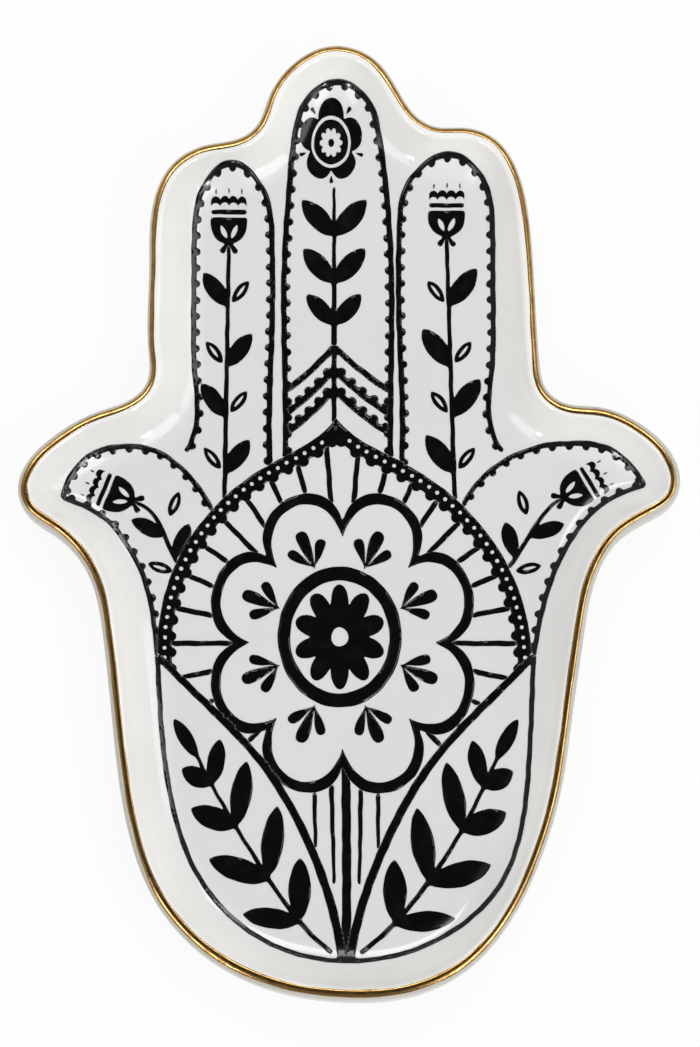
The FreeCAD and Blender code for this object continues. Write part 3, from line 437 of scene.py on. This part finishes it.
def makeRimLine():
    # closed band round the nose: middle angle and width wander, film thickness swells as 1 - w^6 across it
    y = edge[:, 1]
    zones = rimLine["zones"]
    middle = np.interp(y, zones, np.repeat([rimLine["heel"], rimLine["palm"], rimLine["fingers"]], 2))
    middle += rimLine["wanderDegrees"] * waves(aroundShare, rimLine["wanderWaves"], rimLine["wanderFading"])
    width = np.interp(y, zones, np.repeat([rimLine["heelMm"], rimLine["palmMm"], rimLine["fingersMm"]], 2))
    width *= (1 + rimLine["swellShare"] * waves(aroundShare, rimLine["swellWaves"], rimLine["swellFading"]))
    half = np.degrees(width / dish["noseRadius"]) / 2
    front = np.linspace(-1, 1, rimLine["topColumns"])
    rear = np.linspace(1, -1, rimLine["backColumns"])[1:]
    across = np.concatenate([front, rear])
    raised = rimLine["filmMm"] * (1 - np.abs(front) ** rimLine["filmPower"])
    film = np.concatenate([raised, np.full(len(rear), -rimLine["sunkMm"])])
    film[-1] = film[0]
    angle = np.radians(middle[None] - across[:, None] * half[None])
    radius = dish["noseRadius"] + film[:, None]
    inset = dish["noseRadius"] + radius * np.cos(angle)
    places = edge[None] + inward[None] * inset[..., None]
    height = dish["noseHeight"] + radius * np.sin(angle)
    points = np.concatenate([places, height[..., None]], 2)
    return meshPiece("gold_line", points.reshape(-1, 3), gridFaces(len(across), len(edge)))


finished(makeRimLine(), lustreMaterial, "gold_lustre", "gold_rim_line")
print("rim line made")

# the transfer, in millimetres: how high it stands, how its sides slope, how far the hand-drawn edges wobble
transfer = {
    "thick": 0.07, "sunk": 0.05, "slope": 0.02, "wobble": 0.03, "longestEdge": 0.6,
    "softenRounds": 1, "softenShare": 0.5, "cutRounds": 6, "weldMetres": 1e-6, "leastSide": 1e-6,
    "sideTilt": 0.5,        # a face whose normal rises less than this is a side
    "topAbove": 0.06,       # points this far above the floor belong to the top
    "sharpDegrees": 35,
    # drift along x and along y: strength, waves along x and y in radians per millimetre, phase
    "drift": [
        [(1.0, 0.83, 1.31, 0.4), (0.7, -1.93, 0.71, 2.1), (0.5, 1.1, 2.3, 0.0)],
        [(1.0, 1.17, -0.92, 1.7), (0.7, 0.63, 2.11, 0.3), (0.5, 2.6, -1.2, 0.0)],
    ],
}

# where the wet transfer was pushed outwards into the cove: place, shift and reach in millimetres
pushed = np.array([
    (-1.9, 69.5, 0.0, 1.0, 3.6), (-18.4, 56.5, 0.0, 1.4, 3.6), (15.9, 58.0, 0.2, 1.0, 3.6),
    (24.0, -56.0, 1.5, -1.0, 12.0),
])


def wobbleOf(places):
    # smooth drift of the drawn line: three crossed sines per axis, about 2 to 5 mm long
    x, y = places[:, 0], places[:, 1]
    drift = [
        sum(strength * np.sin(alongX * x + alongY * y + phase) for strength, alongX, alongY, phase in axis)
        for axis in transfer["drift"]
    ]
    return transfer["wobble"] * np.stack(drift, 1)


def pushOf(places):
    # sum over the pushes of shift * exp(-distance^2 / (2 reach^2))
    away = ((places[:, None, :] - pushed[None, :, :2]) ** 2).sum(2)
    return np.exp(-away / (2 * pushed[:, 4] ** 2)) @ pushed[:, 2:4]


def softened(flat, pairs):
    # each point of a drawn edge goes a share of the way to the mean of its two neighbours
    share = transfer["softenShare"]
    for _ in range(transfer["softenRounds"]):
        total = np.zeros_like(flat)
        count = np.zeros(len(flat))
        for first, second in (pairs.T, pairs.T[::-1]):
            np.add.at(total, first, flat[second])
            np.add.at(count, first, 1)
        onEdge = count > 0
        flat[onEdge] = (1 - share) * flat[onEdge] + share * total[onEdge] / count[onEdge][:, None]
    return flat


def isSide(face):
    # a face of the print that stands up from the floor
    return abs(face.normal.z) < transfer["sideTilt"]


def makeTransfer(node):
    # a merged copy of the solid: cut finer, edges softened and wobbled, sides sloped, laid on the glaze
    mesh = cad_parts[node].data.copy()
    work = bmesh.new()
    work.from_mesh(mesh)
    bmesh.ops.remove_doubles(work, verts=work.verts, dist=transfer["weldMetres"])
    for _ in range(transfer["cutRounds"]):
        long = [e for e in work.edges if e.calc_length() > transfer["longestEdge"] * mm]
        if long:
            bmesh.ops.subdivide_edges(work, edges=long, cuts=1)
            bmesh.ops.triangulate(work, faces=work.faces)
    work.normal_update()
    sides = np.zeros((len(work.verts), 2))
    work.verts.index_update()
    for face in work.faces:
        if isSide(face):
            for corner in face.verts:
                sides[corner.index] += face.normal.xy
    pairs = np.array([
        [corner.index for corner in e.verts] for e in work.edges
        if len(e.link_faces) == 2 and isSide(e.link_faces[0]) != isSide(e.link_faces[1])
    ])
    work.to_mesh(mesh)
    work.free()
    points = np.empty(len(mesh.vertices) * 3, np.float32)
    mesh.vertices.foreach_get("co", points)
    points = points.reshape(-1, 3).astype(float) * perMetre
    size = np.linalg.norm(sides, axis=1)
    least = transfer["leastSide"]
    sides = sides / np.maximum(size, least)[:, None] * (size > least)[:, None]
    isTop = points[:, 2] > dish["floor"] + transfer["topAbove"]
    flat = softened(points[:, :2].copy(), pairs)
    flat = flat + wobbleOf(flat) + pushOf(flat)
    height = skinHeight(edgeDistance(flat))
    flat = flat + sides * np.where(isTop, -transfer["slope"], 0.0)[:, None]
    points = np.column_stack([flat, height + np.where(isTop, transfer["thick"], -transfer["sunk"])])
    mesh.vertices.foreach_set("co", (points * mm).astype(np.float32).ravel())
    mesh.update()
    piece = bpy.data.objects.new("printed_" + node, mesh)
    bpy.context.scene.collection.objects.link(piece)
    mesh.polygons.foreach_set("use_smooth", np.ones(len(mesh.polygons), dtype=bool))
    mesh.set_sharp_from_angle(angle=math.radians(transfer["sharpDegrees"]))
    return piece


solids = ("bisque_body", "glaze_coat", "underside_glaze", "gold_rim_line")
for node in sorted(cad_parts):
    if node not in solids:
        finished(makeTransfer(node), enamelMaterial, "black_enamel_print", node)
print("transfer laid")

# floor and world: white for the camera; in reflections a grey table, grey walls and a dark ceiling
room = {
    "table": "f2f2f2", "tableSeen": 0.9, "tableMirrored": 0.4,
    "frontWall": 0.17, "backWall": 0.36, "zenith": 0.04, "fillHorizon": 0.84, "fillZenith": 0.14,
    "turnFront": -0.6, "turnBack": 0.4, "wallTop": 0.8, "ceilingEdge": 0.94,  # parts of the ray's direction
    "tableReach": 3000.0,   # half the table's side in millimetres
}


def makeTable():
    # a wide flat sheet under the foot: sheet * (1 - share) + glow * share, so it keeps a faint shadow
    reach = room["tableReach"]
    points = reach * np.array([(-1.0, -1.0, 0.0), (1.0, -1.0, 0.0), (1.0, 1.0, 0.0), (-1.0, 1.0, 0.0)])
    table = meshPiece("table", points, np.array([[0, 1, 2, 3]]))
    material = bpy.data.materials.new("white table")
    material.use_nodes = True
    tree = material.node_tree
    tree.nodes.clear()
    rays = addNode(tree, "ShaderNodeLightPath").outputs
    most, times = {"operation": "MAXIMUM"}, {"operation": "MULTIPLY"}
    seen = addNode(tree, "ShaderNodeMath", most, (rays["Is Camera Ray"], rays["Is Transmission Ray"]))
    seen = addNode(tree, "ShaderNodeMath", times, (seen.outputs[0], room["tableSeen"]))
    mirrored = addNode(tree, "ShaderNodeMath", times, (rays["Is Glossy Ray"], room["tableMirrored"]))
    share = addNode(tree, "ShaderNodeMath", most, (seen.outputs[0], mirrored.outputs[0]))
    sheet = addNode(tree, "ShaderNodeBsdfDiffuse", None, {"Color": linear(room["table"])})
    glow = addNode(tree, "ShaderNodeEmission", None, {"Color": white, "Strength": 1.0})
    sockets = (share.outputs[0], sheet.outputs[0], glow.outputs[0])
    mixed = addNode(tree, "ShaderNodeMixShader", None, sockets)
    addNode(tree, "ShaderNodeOutputMaterial", None, {"Surface": mixed.outputs[0]})
    table.data.materials.append(material)


def makeWorld():
    # camera rays see white; glossy rays see grey walls and a dark ceiling overhead; the rest is a soft fill
    world = bpy.data.worlds.new("room")
    bpy.context.scene.world = world
    world.use_nodes = True
    tree = world.node_tree
    tree.nodes.clear()
    rays = addNode(tree, "ShaderNodeLightPath").outputs
    direction = addNode(tree, "ShaderNodeTexCoord").outputs["Generated"]
    parts = addNode(tree, "ShaderNodeSeparateXYZ", None, {"Vector": direction}).outputs
    wall = addNode(tree, "ShaderNodeMapRange", None, (
        parts["Y"], room["turnFront"], room["turnBack"], room["frontWall"], room["backWall"])).outputs[0]
    mirrored = addNode(tree, "ShaderNodeMapRange", None, (
        parts["Z"], room["wallTop"], room["ceilingEdge"], wall, room["zenith"])).outputs[0]
    level = addNode(tree, "ShaderNodeMapRange", None, (
        parts["Z"], 0.0, 1.0, room["fillHorizon"], room["fillZenith"])).outputs[0]
    fill, mirror, backdrop = [
        addNode(tree, "ShaderNodeBackground", None, {"Color": white, "Strength": strength}).outputs[0]
        for strength in (level, mirrored, 1.0)
    ]
    mixed = addNode(tree, "ShaderNodeMixShader", None, (rays["Is Glossy Ray"], fill, mirror)).outputs[0]
    mixed = addNode(tree, "ShaderNodeMixShader", None, (rays["Is Camera Ray"], mixed, backdrop))
    addNode(tree, "ShaderNodeOutputWorld", None, {"Surface": mixed.outputs[0]})


# soft boxes: azimuth (0 in front, positive to the right), elevation, distance, width, height, power
# angles in degrees, lengths in metres, power in watts
softBoxes = {
    "front_left": (-34.0, 36.0, 1.2, 0.11, 0.11, 1.1),
    "front_right": (34.0, 36.0, 1.2, 0.11, 0.11, 1.3),
    "heel_left": (-52.0, 46.0, 0.8, 0.3, 0.3, 0.8),
    "heel_right": (48.0, 46.0, 0.8, 0.36, 0.34, 1.3),
    "back": (180.0, 58.0, 0.6, 0.7, 0.1, 1.2),
    "back_strip": (180.0, 50.0, 0.6, 0.26, 0.03, 0.2),
    "side_right": (92.0, 46.0, 0.8, 0.36, 0.3, 0.75),
}


def makeLights():
    # each lamp sits on a sphere round the dish and faces its middle
    for name, (azimuth, elevation, distance, width, height, power) in softBoxes.items():
        lamp = bpy.data.lights.new(name, "AREA")
        lamp.shape = "RECTANGLE"
        lamp.size = width
        lamp.size_y = height
        lamp.energy = power
        holder = bpy.data.objects.new(name, lamp)
        a, e = math.radians(azimuth), math.radians(elevation)
        level = distance * math.cos(e)
        holder.location = (level * math.sin(a), -level * math.cos(a), distance * math.sin(e))
        holder.rotation_euler = (math.pi / 2 - e, 0.0, a)
        bpy.context.scene.collection.objects.link(holder)


# camera: 1.5 m off, tipped 9 degrees towards the heel, long lens; lens and sensor in millimetres
shot = {
    "distance": 1.5, "tip": 9.0, "lens": 329.5, "aim": (0.000137, -0.000026, 0.005),
    "sensor": 36.0, "nearest": 0.05, "farthest": 20.0,
}


def makeCamera():
    # above the aim, swung towards the heel by the tip, looking back at the aim
    camera = bpy.data.cameras.new("camera")
    camera.lens = shot["lens"]
    camera.sensor_width = shot["sensor"]
    camera.clip_start = shot["nearest"]
    camera.clip_end = shot["farthest"]
    holder = bpy.data.objects.new("camera", camera)
    tip = math.radians(shot["tip"])
    x, y, z = shot["aim"]
    holder.location = (x, y - shot["distance"] * math.sin(tip), z + shot["distance"] * math.cos(tip))
    holder.rotation_euler = (tip, 0.0, 0.0)
    bpy.context.scene.collection.objects.link(holder)
    bpy.context.scene.camera = holder


makeTable()
makeWorld()
makeLights()
makeCamera()
bpy.context.scene.view_settings.view_transform = "Standard"
print("room, lights and camera set")
